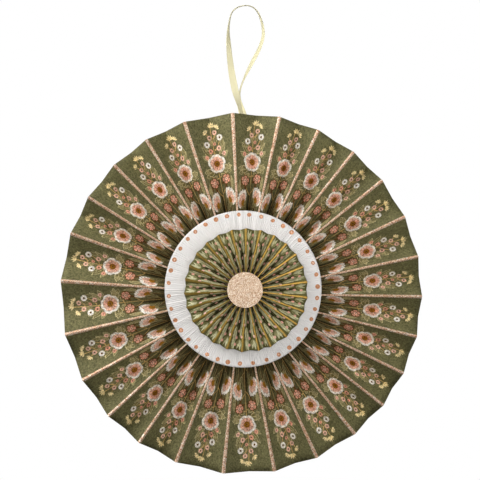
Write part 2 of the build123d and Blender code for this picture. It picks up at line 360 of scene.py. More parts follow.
class Shell:
    """Gathers points and faces, with a material and a print colour per face."""

    def __init__(self):
        self.points, self.count = [], 0
        self.faces, self.slots, self.inks, self.smooth = [], [], [], []

    def add(self, pts):
        pts = np.asarray(pts, float).reshape(-1, 3)
        self.points.append(pts)
        ids = np.arange(self.count, self.count + len(pts))
        self.count += len(pts)
        return ids

    def face(self, ids, slot=0, ink=(0.5, 0.5, 0.5), smooth=True):
        self.faces.append(tuple(int(i) for i in ids))
        self.slots.append(slot)
        self.inks.append(ink)
        self.smooth.append(smooth)

    def build(self, name, materials):
        points = np.concatenate(self.points) * MM
        used = np.zeros(self.count, bool)
        for f in self.faces:
            used[list(f)] = True
        new = np.cumsum(used) - 1
        mesh = bpy.data.meshes.new(name)
        mesh.from_pydata(points[used].tolist(), [], [tuple(int(new[i]) for i in f) for f in self.faces])
        mesh.polygons.foreach_set("material_index", self.slots)
        mesh.polygons.foreach_set("use_smooth", self.smooth)
        layer = mesh.color_attributes.new("ink", "FLOAT_COLOR", "CORNER")
        sizes = np.array([len(f) for f in self.faces])
        colours = np.repeat(np.array([(*c, 1.0) for c in self.inks], np.float32), sizes, axis=0)
        layer.data.foreach_set("color", colours.ravel())
        mesh.update()
        ob = bpy.data.objects.new(name, mesh)
        for m in materials:
            mesh.materials.append(m)
        root_collection.objects.link(ob)
        return ob


def zipped(shell, a, at_a, b, at_b, **kw):
    """Triangles between two chains that run the same way. Normal: a to b, turned
    towards the chains' direction."""
    i = j = 0
    while i < len(a) - 1 or j < len(b) - 1:
        if j == len(b) - 1 or (i < len(a) - 1 and at_a[i + 1] <= at_b[j + 1]):
            shell.face((a[i], b[j], a[i + 1]), **kw)
            i += 1
        else:
            shell.face((a[i], b[j], b[j + 1]), **kw)
            j += 1


class Gore:
    """One valley between two ridges. A point is (u, f): u millimetres across the
    flat paper from the fold in the valley, f from 0 at the hub to 1 at the rim."""

    def __init__(self, mid, gap, pleat, paper, hub, rim, front_hub, front_rim,
                 centre=(0, 0), lean=0.0, bow=(0, 0)):
        self.mid, self.gap, self.pleat, self.paper = mid, gap, pleat, paper
        self.centre, self.bow = centre, bow
        self.slope = pleat - 0.15
        self.ends = []
        for r, front, lean_here in ((hub, front_hub, 0.0), (rim, front_rim, lean)):
            half = r * sin(radians(gap / 2))
            depth = sqrt(pleat ** 2 - half ** 2)
            e = 0.1
            for _ in range(30):
                e = paper * tan(atan(depth / (half - 0.1 - e)) / 2)
            self.ends.append((r, half, depth, e, front, lean_here))
        a = radians(mid)
        self.out = np.array([sin(a), 0, cos(a)])
        self.turn = np.array([cos(a), 0, -sin(a)])

    def section(self, end, u, rear):
        r, half, depth, e, front, lean = self.ends[end]
        s = np.clip(np.abs(u) / self.slope, 0, 1)
        q = (half - 0.05 - e) * s
        flat = np.abs(u) > self.slope + 1e-6
        low = front - depth - self.paper
        if rear:
            h = low + (front - self.paper - low) * np.clip(
                (q - 0.05 - e) / (half - 0.1 - e), 0, 1)
            h = np.where(flat, front - self.paper, h)
        else:
            h = low + self.paper + (front - low - self.paper) * s
        q = np.where(flat, half, q)
        d = (r - (front - h) * lean) * cos(radians(self.gap / 2))
        return np.stack([np.sign(u) * q, d, h], -1)

    def at(self, u, f, rear=False):
        u, f = np.broadcast_arrays(np.asarray(u, float), np.asarray(f, float))
        a, b = self.section(0, u, rear), self.section(1, u, rear)
        p = a + (b - a) * f[..., None]
        s = np.abs(u) / self.pleat
        bow = np.where(u < 0, self.bow[0], self.bow[1])
        p[..., 2] += bow * np.sin(pi * np.clip(s, 0, 1)) * f ** 1.5
        q, d, h = p[..., 0], p[..., 1], p[..., 2]
        xyz = q[..., None] * self.turn + d[..., None] * self.out
        xyz[..., 1] -= h
        xyz[..., 0] += self.centre[0]
        xyz[..., 2] += self.centre[1]
        return xyz


class Print:
    """Shapes painted one over another on a flat sheet, as closed outlines."""

    def __init__(self):
        self.outlines, self.inks = [], []

    def add(self, pts, ink):
        pts = [tuple(p) for p in pts]
        area = sum(a[0] * b[1] - b[0] * a[1] for a, b in zip(pts, pts[1:] + pts[:1]))
        self.outlines.append(pts if area > 0 else pts[::-1])
        self.inks.append(ink)

    def disc(self, x, y, r, ink, n=14, stretch=1.0, turn=0.0):
        c, s = cos(radians(turn)), sin(radians(turn))
        pts = []
        for i in range(n):
            a = 2 * pi * (i + 0.5) / n
            px, py = r * cos(a), r * stretch * sin(a)
            pts.append((x + px * c - py * s, y + px * s + py * c))
        self.add(pts, ink)

    def petal(self, x, y, turn, length, width, ink, start=0.0, notch=0.1, n=14):
        """A petal from (x, y); turn 0 points up the sheet, clockwise positive."""
        c, s = cos(radians(turn)), sin(radians(turn))
        pts = []
        for i in range(n):
            a = 2 * pi * i / n
            t = (1 - cos(a)) / 2
            px = width / 2 * sin(a) * (0.62 + 0.5 * t)
            py = start + (length - start) * t
            py -= notch * length * max(0.0, 1 - abs(px) / (0.22 * width)) * (t > 0.7)
            pts.append((x + px * c + py * s, y - px * s + py * c))
        self.add(pts, ink)

    def leaf(self, x, y, turn, length, width, ink, bend=0.0, vein=None, n=7):
        c, s = cos(radians(turn)), sin(radians(turn))

        def along(t, off):
            px = bend * length * t * t + off
            py = length * t
            return (x + px * c + py * s, y - px * s + py * c)

        left = [along(t, -width / 2 * sin(pi * t ** 0.85)) for t in np.linspace(0, 1, n)]
        right = [along(t, width / 2 * sin(pi * t ** 0.85)) for t in np.linspace(1, 0, n)[1:-1]]
        self.add(left + right, ink)
        if vein:
            w = width * 0.09
            self.add([along(0.06, -w / 2), along(0.5, -w / 2), along(0.88, 0),
                      along(0.5, w / 2), along(0.06, w / 2)], vein)

    def stem(self, pts, w0, w1, ink):
        p = np.array(pts, float)
        t = np.gradient(p, axis=0)
        t /= np.linalg.norm(t, axis=1)[:, None]
        n = np.stack([-t[:, 1], t[:, 0]], 1)
        w = np.linspace(w0, w1, len(p))[:, None] / 2
        self.add([*map(tuple, p + n * w), *map(tuple, (p - n * w)[::-1])], ink)

    def mesh(self, edge_points, lines, extra):
        """Triangles of the sheet inside edge_points, with the shape each is in."""
        verts = [Vector(p) for p in edge_points]
        faces = [list(range(len(edge_points)))]
        for pts in self.outlines:
            faces.append(list(range(len(verts), len(verts) + len(pts))))
            verts += [Vector(p) for p in pts]
        edges = []
        for line in lines:
            k = len(verts)
            verts += [Vector(p) for p in line]
            edges += [(k + i, k + i + 1) for i in range(len(line) - 1)]
        verts += [Vector(p) for p in extra]
        v, _, f, _, _, origin = delaunay_2d_cdt(verts, edges, faces, 1, 1e-3)
        v = np.array([tuple(p) for p in v])
        tris, tops = [], []
        for tri, inside in zip(f, origin):
            if 0 not in inside:
                continue
            tris.append(tri)
            tops.append(max(inside))
        return v, tris, tops


def curve_points(a, b, bulge, n=9):
    """A bowed line from a to b, for a stem."""
    a, b = np.array(a, float), np.array(b, float)
    side = np.array([-(b - a)[1], (b - a)[0]])
    t = np.linspace(0, 1, n)[:, None]
    return a + (b - a) * t + side * bulge * (4 * t * (1 - t))


# ------------------------------------------------------ the large fan's print
ink_dark = linear(62, 54, 26)
ink_shade = linear(88, 79, 46)
ink_brown = linear(112, 80, 40)
ink_sage = linear(160, 150, 102)
ink_sage_pale = linear(204, 192, 144)
ink_leaf = linear(128, 120, 74)
ink_gold = linear(214, 182, 116)
ink_gold_pale = linear(252, 230, 172)
ink_mustard = linear(172, 118, 30)
ink_blush = linear(250, 206, 182)
ink_salmon = linear(240, 178, 150)
ink_deep = linear(200, 128, 100)
ink_cream = linear(255, 250, 240)

fan_hub, fan_rim, fan_pleat, fan_paper, fan_front = 8.0, 152.5, 25.4, 0.25, 26.65
fan_long = fan_rim - fan_hub
stripe = 1.95            # half of the glitter stripe's flat width


def rosette(sheet, x, y, r, turn, petal, rim, heart, deep, petals=5, wide=1.0, streaks=True):
    """An open round blossom: rimmed petals, short streaks and a dotted heart.
    wide stretches it across the panel."""
    part = Print()
    fill = 6.9 if streaks else 5.1
    for i in range(petals):
        part.petal(0, 0, turn + 360 / petals * i, r, r * fill / petals, rim, start=0.1 * r,
                   notch=0.12, n=16 if streaks else 10)
    for i in range(petals):
        a = turn + 360 / petals * i
        part.petal(0, 0, a, r * (0.75 if streaks else 0.84), r * fill * 0.72 / petals, petal, start=0.12 * r,
                   n=14 if streaks else 10)
    for i in range(0 if streaks else petals):
        a = turn + 360 / petals * i
        part.leaf(0, 0, a, r * 0.70, r * 0.14, deep, n=4)
        part.leaf(0, 0, a + 180 / petals, r * 0.80, r * 0.13, ink_shade, n=4)
    for i in range(petals if streaks else 0):
        a = turn + 360 / petals * i
        for da, l, w in ((-16, 0.54, 0.06), (0, 0.66, 0.07), (16, 0.54, 0.06)):
            part.leaf(0, 0, a + da, r * l, r * w, deep, n=4)
        part.leaf(0, 0, a + 180 / petals, r * 0.86, r * 0.075, deep, n=4)
    part.disc(0, 0, r * (0.34 if streaks else 0.30), heart, 12)
    for i in range(6 if streaks else 0):
        a = radians(turn + 30 + 60 * i)
        part.disc(0.23 * r * sin(a), 0.23 * r * cos(a), r * 0.06, ink_brown, 6)
    part.disc(0, 0, r * 0.10, ink_brown, 7)
    for outline, ink in zip(part.outlines, part.inks):
        sheet.add([(x + px * wide, y + py) for px, py in outline], ink)


def bell(sheet, x, y, turn, size, body, rim, base, heart, deep):
    """A half-open flower on its side: three petals out of a cup."""
    for da in (-34, 34, 0):
        sheet.petal(x, y, turn + da, size, size * 0.70, rim, notch=0.10, n=14)
    for da in (-31, 31, 0):
        sheet.petal(x, y, turn + da, size * 0.78, size * 0.48, body, notch=0.0, n=10)
    for da in (-31, -14, 14, 31):
        sheet.leaf(x, y, turn + da, size * 0.66, size * 0.06, deep, n=4)
    sheet.petal(x, y, turn, size * 0.42, size * 0.56, heart, notch=0.0, n=10)
    sheet.leaf(x, y, turn - 66, size * 0.46, size * 0.22, base, n=5)
    sheet.leaf(x, y, turn + 66, size * 0.46, size * 0.22, base, n=5)


def edged_leaf(sheet, x, y, turn, length, width, edge, body, bend):
    """A leaf with a pale edge and a pale midrib."""
    sheet.leaf(x, y, turn, length, width, edge, bend=bend, n=8)
    a = radians(turn)
    sheet.leaf(x + 0.05 * length * sin(a), y + 0.05 * length * cos(a), turn, 0.88 * length,
               0.78 * width, body, bend=bend, vein=edge)


def floral_sheet():
    s = Print()
    # dark blades fan out low on the panels, with pale stalks between them
    for k, x in enumerate(np.linspace(-20.6, 20.6, 21)):
        s.leaf(x, 56.0 + 1.7 * (k % 3), 0.2 * x + 4 * sin(1.7 * k),
               31 - 0.45 * abs(x) + 6.0 * sin(2.1 * k + 0.6), 2.0 + 0.7 * (k % 2),
               (ink_dark, ink_brown, ink_sage, ink_dark, ink_shade)[k % 5],
               bend=0.03 if k % 2 else -0.03)
    for k, x in enumerate(np.linspace(-17.6, 17.6, 11)):
        s.stem(curve_points((x, 58.0), (1.1 * x + sin(3.0 * k), 78 + 6 * sin(1.3 * k)),
                            0.03 if k % 2 else -0.03), 0.9, 0.5, ink_sage)
    # fine stems
    spine = [(0.9 * sin((y - 58) / 15), y) for y in np.linspace(58, 145, 30)]
    s.stem(spine, 1.4, 0.9, ink_gold)
    for a, b, k in (((0.4, 64), (-10.6, 73.5), 0.12), ((0.6, 68), (11.0, 77.5), -0.12),
                    ((0.6, 84), (-8.8, 95.0), 0.14), ((0.4, 86), (9.8, 98.5), -0.14),
                    ((0.2, 121.5), (-7.4, 128.4), 0.12), ((0.4, 124), (8.0, 132.4), -0.12),
                    ((-0.4, 131), (-5.6, 139.0), 0.10), ((0.2, 134), (5.0, 141.5), -0.10),
                    ((0.5, 100), (-13.6, 103.5), 0.10), ((0.5, 101), (14.0, 106.0), -0.10)):
        s.stem(curve_points(a, b, k), 1.1, 0.8, ink_gold)
    # leaves: brown ones low, edged ones above
    for x, y, t, l, w in ((-6.4, 86.5, -34, 13.0, 4.0), (6.8, 89.0, 30, 12.0, 3.6),
                          (-1.6, 94.0, -74, 13.0, 3.4), (1.8, 95.0, 72, 12.0, 3.2),
                          (-14.5, 88.0, -14, 12.0, 3.0), (15.5, 91.0, 12, 11.0, 2.8)):
        s.leaf(x, y, t, l, w, ink_brown, bend=0.12 if t < 0 else -0.12, vein=ink_dark)
    for x, y, t, l, w, pale in (
            (-5.0, 106.0, -98, 15.0, 6.0, 0), (5.0, 107.5, 95, 15.0, 6.0, 1),
            (-2.5, 102.5, -128, 11.0, 4.6, 1), (2.8, 103.5, 124, 11.0, 4.6, 0),
            (-4.5, 119.0, -58, 13.5, 5.2, 0), (4.8, 120.0, 54, 13.0, 5.2, 1),
            (-19.0, 84.0, -6, 12.0, 4.2, 1), (19.0, 88.0, 6, 12.0, 4.2, 1),
            (-5.0, 68.5, -58, 11.0, 4.0, 0), (5.5, 71.5, 54, 11.0, 4.0, 0),
            (-0.6, 128.0, -40, 8.0, 3.4, 1), (0.8, 130.0, 42, 8.0, 3.4, 0),
            (-13.0, 103.6, -46, 6.5, 3.2, 1), (13.4, 106.2, 44, 6.5, 3.2, 1),
            (-13.4, 103.2, -112, 6.0, 3.0, 0), (13.8, 105.6, 110, 6.0, 3.0, 0),
            (-8.6, 117.0, -78, 9.0, 4.0, 1), (8.8, 118.4, 76, 9.0, 4.0, 1),
            (-9.0, 124.0, -26, 8.0, 3.6, 0), (9.6, 126.0, 24, 8.0, 3.6, 0)):
        edged_leaf(s, x, y, t, 1.05 * l, 1.2 * w, ink_sage_pale, ink_sage if pale else ink_leaf,
                   0.16 if t < 0 else -0.16)
    # gold sprig tips
    for x, y, turn in ((0.6, 144.0, 4), (-6.2, 139.4, -34), (5.6, 142.6, 34)):
        for da in (-66, -33, 0, 33, 66):
            s.leaf(x, y, turn + da, 4.9 if turn == 4 else 3.9, 2.0 if turn == 4 else 1.7,
                   ink_gold_pale, n=5)
    # one full blossom over each valley
    rosette(s, 0.0, 112.5, 8.2, 36, ink_blush, ink_cream, ink_mustard, ink_deep, wide=1.5)
    # small blossoms below it
    rosette(s, -9.4, 96.0, 5.3, 10, ink_salmon, ink_brown, ink_blush, ink_deep, wide=1.5,
            streaks=False)
    rosette(s, 10.2, 98.5, 5.0, -24, ink_salmon, ink_brown, ink_blush, ink_deep, wide=1.5,
            streaks=False)
    # half-open flowers at the sides
    bell(s, -10.6, 73.5, -36, 15.6, ink_blush, ink_cream, ink_sage, ink_mustard, ink_deep)
    bell(s, 11.0, 77.0, 34, 15.2, ink_blush, ink_cream, ink_sage, ink_mustard, ink_deep)
    # berries
    for x, y, r, ink in ((-7.8, 129.6, 3.4, ink_cream), (8.4, 134.4, 3.4, ink_cream),
                         (5.8, 125.4, 2.9, ink_blush), (-4.8, 123.6, 2.8, ink_salmon),
                         (-3.4, 135.2, 2.6, ink_blush), (3.4, 139.2, 2.6, ink_blush),
                         (-11.4, 118.6, 2.5, ink_salmon), (11.6, 120.4, 2.5, ink_blush),
                         (1.4, 129.6, 1.9, ink_salmon)):
        s.disc(x, y, r, ink, 12, stretch=0.82)
        s.disc(x, y, 0.36 * r, ink_brown if r > 2.5 else ink_deep, 7, stretch=0.82)
    limit = fan_pleat - stripe - 0.2
    s.outlines = [[(min(max(x, -limit), limit), y) for x, y in o] for o in s.outlines]
    return s


def row_list(start, stop, coarse, fine, total):
    rows = list(np.linspace(0, start, coarse + 1))
    rows += list(np.linspace(start, total, fine + 1))[1:]
    return np.array(rows)


random.seed(7)
rng = np.random.default_rng(7)
fan_rows = row_list(48.0, fan_long, 8, 168, fan_long)       # along the ridges
inner_u = fan_pleat - stripe
rim_u = np.array([0.25, 0.5, 0.75]) * fan_pleat
sheet_print = floral_sheet()
# outlines are drawn with their distance from the centre; the sheet starts at the hub
sheet_print.outlines = [[(x, y - fan_hub) for x, y in o] for o in sheet_print.outlines]
bottom = [(x, 0.0) for x in (*(-rim_u[::-1]), 0.0, *rim_u)]
top = [(x, fan_long) for x in (*rim_u[::-1], 0.0, *(-rim_u))]
edge = ([(-inner_u, 0.0)] + bottom + [(inner_u, y) for y in fan_rows] + top
        + [(-inner_u, y) for y in fan_rows[::-1][:-1]])
grid = [(x, y) for y in np.arange(6.0, fan_long - 2, 6.0)
        for x in (-21, -16.5, -12, -8, -4, 4, 8, 12, 16.5, 21)]
fan_v, fan_t, fan_top = sheet_print.mesh(
    edge, [[(0.0, y) for y in np.linspace(0, fan_long, 41)]], grid)
fan_ink = [olive if k == 0 else sheet_print.inks[k - 1] for k in fan_top]
fan_side = [1 if fan_v[list(t), 0].mean() > 0 else -1 for t in fan_t]


def chain(mask, key):
    ids = np.nonzero(mask)[0]
    return ids[np.argsort(key[ids])]


fan_edge_l = chain(np.abs(fan_v[:, 0] + inner_u) < 1e-4, fan_v[:, 1])
fan_edge_r = chain(np.abs(fan_v[:, 0] - inner_u) < 1e-4, fan_v[:, 1])
fan_valley = chain(np.abs(fan_v[:, 0]) < 1e-4, fan_v[:, 1])
fan_hubs = chain(np.abs(fan_v[:, 1]) < 1e-4, fan_v[:, 0])
fan_rims = chain(np.abs(fan_v[:, 1] - fan_long) < 1e-4, fan_v[:, 0])
assert len(fan_edge_l) == len(fan_edge_r) == len(fan_rows)
assert len(fan_hubs) == len(fan_rims) == 9

fan_ridges = [12.3, 25.3, 38.5, 51.3, 64.9, 78.2, 91.0, 103.8, 116.2, 128.2,
              141.0, 155.2, 169.3, 185.7, 201.2, 214.4, 227.3, 241.3, 256.8,
              274.0, 289.4, 302.2, 315.3, 328.3, 341.6, 357.3]
strip_split = 13


def gore_list(ridges):
    found = []
    for i, a in enumerate(ridges):
        gap = (ridges[(i + 1) % len(ridges)] - a) % 360
        found.append(((a + gap / 2) % 360, gap))
    return found


fan_gores = []
for mid, gap in gore_list(fan_ridges):
    fan_gores.append(Gore(mid, gap, fan_pleat, fan_paper, fan_hub, fan_rim, fan_front,
                          fan_front, bow=tuple(rng.uniform(-0.45, 0.45, 2))))
stripe_u = np.array([stripe * 2 / 3, stripe / 3])           # flat distance from the ridge
rear_rows = np.linspace(0, 1, 15)


def ridge_points(ridge, rows, rear, rough=0.0):
    a = radians(fan_ridges[ridge % 26])
    r = fan_hub + fan_long * rows
    h = fan_front - (fan_paper if rear else 0) - np.abs(rng.normal(0, rough, len(rows))) * (not rear)
    return np.stack([r * sin(a), -h + 0 * r, r * cos(a)], -1)


def fan_strip(name, jobs):
    """One pleated strip. jobs: (gore, which half or both)."""
    shell = Shell()
    rows = fan_rows / fan_long
    front_ridge, rear_ridge = {}, {}

    def ridge(i, rear):
        table = rear_ridge if rear else front_ridge
        i %= 26
        if i not in table:
            table[i] = shell.add(ridge_points(i, rear_rows if rear else rows, rear, 0.02))
        return table[i]

    rough_rows = rows.copy()
    for g, which in jobs:
        gore = fan_gores[g]
        sides = {"full": (-1, 1), "right": (1,), "left": (-1,)}[which]
        slip = rng.uniform(-0.35, 0.35)
        f = fan_v[:, 1] / fan_long
        inside = (np.abs(fan_v[:, 0]) < inner_u - 1e-3) & (np.abs(fan_v[:, 0]) > 1e-3)
        f = np.where(inside, f + slip / fan_long * np.sin(pi * f), f)
        ids = shell.add(gore.at(fan_v[:, 0], f))
        for t, ink, side in zip(fan_t, fan_ink, fan_side):
            if side in sides:
                shell.face(ids[list(t)], 0, ink)
        rim_front, hub_front, rim_at = [], [], []
        for side in sides:
            # glitter stripe: from the print's edge to the ridge
            line = ids[fan_edge_r if side > 0 else fan_edge_l]
            columns = [line]
            for d in (*stripe_u, 0.15):
                jit = rng.uniform(-0.10, 0.10, len(rows)) * (d > 0.2)
                rise = rng.normal(0, 0.035, len(rows))
                rise[[0, -1]] = 0
                u = side * (fan_pleat - d - jit)
                fr = rough_rows + rng.uniform(-0.18, 0.18, len(rows)) / fan_long
                fr[[0, -1]] = (0, 1)
                p = gore.at(u, fr)
                p[:, 1] -= rise
                columns.append(shell.add(p))
            columns.append(ridge(g + (1 if side > 0 else 0), False))
            if side < 0:
                columns = columns[::-1]
            for a, b in zip(columns, columns[1:]):
                for k in range(len(rows) - 1):
                    if rng.random() < 0.5:
                        shell.face((a[k], b[k], b[k + 1]), 1, smooth=False)
                        shell.face((a[k], b[k + 1], a[k + 1]), 1, smooth=False)
                    else:
                        shell.face((a[k], b[k], a[k + 1]), 1, smooth=False)
                        shell.face((b[k], b[k + 1], a[k + 1]), 1, smooth=False)
            us = [side * v for v in (inner_u, *(fan_pleat - stripe_u), fan_pleat - 0.15, fan_pleat)]
            if side < 0:
                us = us[::-1]
            ends = [[c[-1] for c in columns], [c[0] for c in columns], us]
            if side < 0:
                rim_front, hub_front, rim_at = ends[0][:-1], ends[1][:-1], ends[2][:-1]
            else:
                tail = ends
        mid_ids = [i for i in fan_rims if (fan_v[i, 0] > -1e-3 or -1 in sides)
                   and (fan_v[i, 0] < 1e-3 or 1 in sides)]
        mid_hub = [i for i in fan_hubs if (fan_v[i, 0] > -1e-3 or -1 in sides)
                   and (fan_v[i, 0] < 1e-3 or 1 in sides)]
        rim_front += [ids[i] for i in mid_ids]
        hub_front += [ids[i] for i in mid_hub]
        rim_at += [fan_v[i, 0] for i in mid_ids]
        if 1 in sides:
            rim_front += tail[0][1:]
            hub_front += tail[1][1:]
            rim_at += tail[2][1:]
        # rear face
        cols = []
        for u in rim_at:
            if abs(abs(u) - fan_pleat) < 1e-6:
                cols.append(ridge(g + (1 if u > 0 else 0), True))
            else:
                cols.append(shell.add(gore.at(u, rear_rows, rear=True)))
        for a, b in zip(cols, cols[1:]):
            for k in range(len(rear_rows) - 1):
                shell.face((a[k], a[k + 1], b[k + 1], b[k]), 2)
        for j in range(len(cols) - 1):
            shell.face((cols[j][-1], rim_front[j], rim_front[j + 1], cols[j + 1][-1]), 2, smooth=False)
            shell.face((hub_front[j], cols[j][0], cols[j + 1][0], hub_front[j + 1]), 2, smooth=False)
        if which != "full":
            front = ids[fan_valley]
            at_front = fan_v[fan_valley, 1] / fan_long
            back = cols[0] if which == "right" else cols[-1]
            if which == "right":
                zipped(shell, front, at_front, back, rear_rows, slot=2, smooth=False)
            else:
                zipped(shell, back, rear_rows, front, at_front, slot=2, smooth=False)
    return shell


def lap_flap(shell, gore, inner, width, glue=0.04):
    """The strip's glued end: it wraps the valley's rear and lies behind the
    neighbouring panel."""
    t = gore.paper
    profiles = []
    for r, half, depth, e, front, lean in gore.ends:
        low = front - depth - t
        run = half - 0.1 - e
        length = hypot(run, depth)
        cu, ch = run / length, depth / length
        turn = e / t
        near = (0.05 + e + glue * turn, low - glue)
        far = (0.05 + e + (glue + t) * turn, low - glue - t)
        profiles.append(np.array([
            (-0.05 - e, low), (0, low), (0, low - glue), near,
            (near[0] + cu * width, near[1] + ch * width),
            (far[0] + cu * width, far[1] + ch * width), far, (-0.05 - e, low - glue - t)]))
    r0, r1 = (end[0] * cos(radians(gore.gap / 2)) for end in gore.ends)
    d_in = inner if inner else r0
    s = (d_in - r0) / (r1 - r0)
    a = profiles[0] + (profiles[1] - profiles[0]) * s
    b = profiles[1]
    rings = []
    for prof, end in ((a, None), (b, gore.ends[1])):
        pts = []
        for q, h in prof:
            d = d_in if end is None else (end[0] - (end[4] - h) * end[5]) * cos(radians(gore.gap / 2))
            p = q * gore.turn + d * gore.out
            pts.append((p[0] + gore.centre[0], -h, p[2] + gore.centre[1]))
        rings.append(pts)
    n = 10
    rows = []
    for k in range(n + 1):
        rows.append(shell.add(np.array(rings[0]) + (np.array(rings[1]) - np.array(rings[0])) * k / n))
    for a, b in zip(rows, rows[1:]):
        for j in range(8):
            shell.face((a[j], b[j], b[(j + 1) % 8], a[(j + 1) % 8]), 2, smooth=False)
    for ring, flip in ((rows[0], False), (rows[-1], True)):
        for f in ((0, 1, 2, 7), (2, 3, 6, 7), (3, 4, 5, 6)):
            ids = [ring[i] for i in f]
            shell.face(ids[::-1] if flip else ids, 2, smooth=False)


right_jobs = [(25, "right")] + [(g, "full") for g in range(0, strip_split - 1)] + [(strip_split - 1, "left")]
left_jobs = [(strip_split - 1, "right")] + [(g, "full") for g in range(strip_split, 25)] + [(25, "left")]
fan_materials = [floral_print, rose_glitter, paper_back]
for name, jobs, node, seam in (("large_fan_right_paper", right_jobs, "large_fan_right", strip_split - 1),
                               ("large_fan_left_paper", left_jobs, "large_fan_left", 25)):
    shell = fan_strip(name, jobs)
    lap_flap(shell, fan_gores[seam], 31.0, 10.0)
    ob = shell.build(name, fan_materials)
    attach(ob, "root")
    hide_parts(node)

# ------------------------------------------------------------- white disc
white_x, white_z, white_rim = 1.6, 3.8, 66.1
white_t, white_flat, white_base = 0.12, 25.5, 26.65
flutes = 234
dot_angles = [4.7, 14.1, 23.5, 32.3, 40.5, 49.2, 59.7, 69.5, 78.8, 88.1, 96.9, 105.6, 113.8,
              122.5, 131.9, 141.7, 151.4, 161.6, 172.4, 182.4, 191.8, 199.9, 208.8, 219.1,
              227.2, 236.5, 245.3, 254.6, 264.6, 274.7, 284.4, 293.1, 302.8, 312.2, 320.2,
              329.8, 338.7, 347.5, 356.7]
dot_ring = 62.8
flute_shift = 0.12 * np.sin(1.9 * np.arange(flutes)) + rng.uniform(-0.28, 0.28, flutes)
flute_sink = 0.60 * rng.random(flutes) ** 2          # how far each crest stays low
flute_deep = 1.0 - 0.55 * rng.random(flutes) ** 1.5
flute_at = np.arange(flutes) * 360 / flutes
pressed = np.full(flutes, 0.72)
for mid_angle, reach in ((0, 8), (25, 7), (52, 10), (152, 16), (217, 20), (262, 6), (318, 6)):
    away = np.abs((flute_at - mid_angle + 180) % 360 - 180)
    pressed += 0.4 * np.exp(-(away / reach) ** 2)
flute_deep *= np.minimum(pressed, 1.0)
flute_edges = np.arange(flutes) + flute_shift


def flute_height(x, z):
    """Height of the white disc's front face."""
    r = np.hypot(x, z)
    a = np.mod(np.arctan2(x, z) / (2 * pi) * flutes, flutes)
    k = np.searchsorted(flute_edges, a, side="right") - 1
    k = np.mod(k, flutes)
    lo = flute_edges[k]
    hi = np.append(flute_edges, flutes + flute_edges[0])[k + 1]
    a = np.where(a < lo, a + flutes, a)
    s = np.clip((a - lo) / (hi - lo), 0, 1)
    g = np.clip((r - white_flat) / (white_rim - white_flat), 0, 1)
    top = 26.82 + (27.95 - 26.82) * g
    top = top - g * (flute_sink[k] * (1 - s) + flute_sink[(k + 1) % flutes] * s)
    wave = (1 - np.cos(2 * pi * s)) / 2
    return np.maximum(top - white_depth * g * flute_deep[k] * wave, 26.80)


white_depth = 0.9
verts, edges, faces = [], [], []
hub_n = flutes


def ring_ids(pts):
    k = len(verts)
    verts.extend(Vector(p) for p in pts)
    return list(range(k, k + len(pts)))


def polar(a, r):
    return (r * sin(a), r * cos(a))


outer_angles = []
for k in range(flutes):
    a, b = flute_edges[k], (flute_edges[k + 1] if k + 1 < flutes else flutes + flute_edges[0])
    for j in range(6):
        outer_angles.append((a + (b - a) * j / 6) * 2 * pi / flutes)
rim_ids = ring_ids([polar(a, white_rim) for a in outer_angles])
faces.append(rim_ids[::-1])
for k, dot in enumerate(dot_angles):
    c = polar(radians(dot), dot_ring)
    # small foil dots, a little uneven, some with a paler middle
    big = 1.86 + 0.16 * sin(5.1 * k)
    squash, way = 0.93 + 0.06 * sin(2.3 * k), 1.7 * k
    for r, n in ((big, 22), (0.85 if k % 3 == 1 else 0.28, 12)):
        spots = []
        for i in range(n):
            a = 2 * pi * i / n
            px, py = r * cos(a), r * squash * sin(a)
            spots.append((c[0] + px * cos(way) - py * sin(way), c[1] + px * sin(way) + py * cos(way)))
        faces.append(ring_ids(spots))
dot_faces = len(faces)
for i, a in enumerate(outer_angles):
    crest, valley = i % 6 == 0, i % 6 == 3
    radii = (50.0, 54.0, 58.0, 62.0, 64.3) if not (crest or valley) else (
        26.0, 34.0, 42.0, 50.0, 54.0, 58.0, 62.0, 64.3)
    ids = ring_ids([polar(a, r) for r in radii])
    if crest or valley:
        line = ids + [rim_ids[i]]
        edges += list(zip(line, line[1:]))
for r, n in ((24.0, 90), (16.0, 40), (8.0, 16), (0.0, 1)):
    ring_ids([polar(2 * pi * i / n, r) for i in range(n)])
v2, _, f2, _, _, o2 = delaunay_2d_cdt(verts, edges, faces, 0, 1e-5)
v2 = np.array([tuple(p) for p in v2])
height = flute_height(v2[:, 0], v2[:, 1])
shell = Shell()
ids = shell.add(np.stack([v2[:, 0] + white_x, -height, v2[:, 1] + white_z], 1))
thick = np.where(np.hypot(v2[:, 0], v2[:, 1]) < white_flat, 0.17, 0.14)
low_ids = shell.add(np.stack([v2[:, 0] + white_x, -(height - thick), v2[:, 1] + white_z], 1))
for tri, inside in zip(f2, o2):
    top_face = max(inside) if inside else 0
    slot = 0 if top_face == 0 else (1 if top_face % 2 else 2)
    shell.face(ids[list(tri)], slot)
    shell.face(low_ids[list(tri)[::-1]], 0)
on_rim = np.nonzero(np.abs(np.hypot(v2[:, 0], v2[:, 1]) - white_rim) < 0.02)[0]
on_rim = on_rim[np.argsort(np.arctan2(v2[on_rim, 0], v2[on_rim, 1]))]
for a, b in zip(on_rim, np.roll(on_rim, -1)):
    shell.face((ids[a], low_ids[a], low_ids[b], ids[b])[::-1], 0, smooth=False)
white_disc = shell.build("white_fluted_disc_paper", [white_paper, copper_foil, copper_centre])
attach(white_disc, "root")
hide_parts("white_fluted_disc")

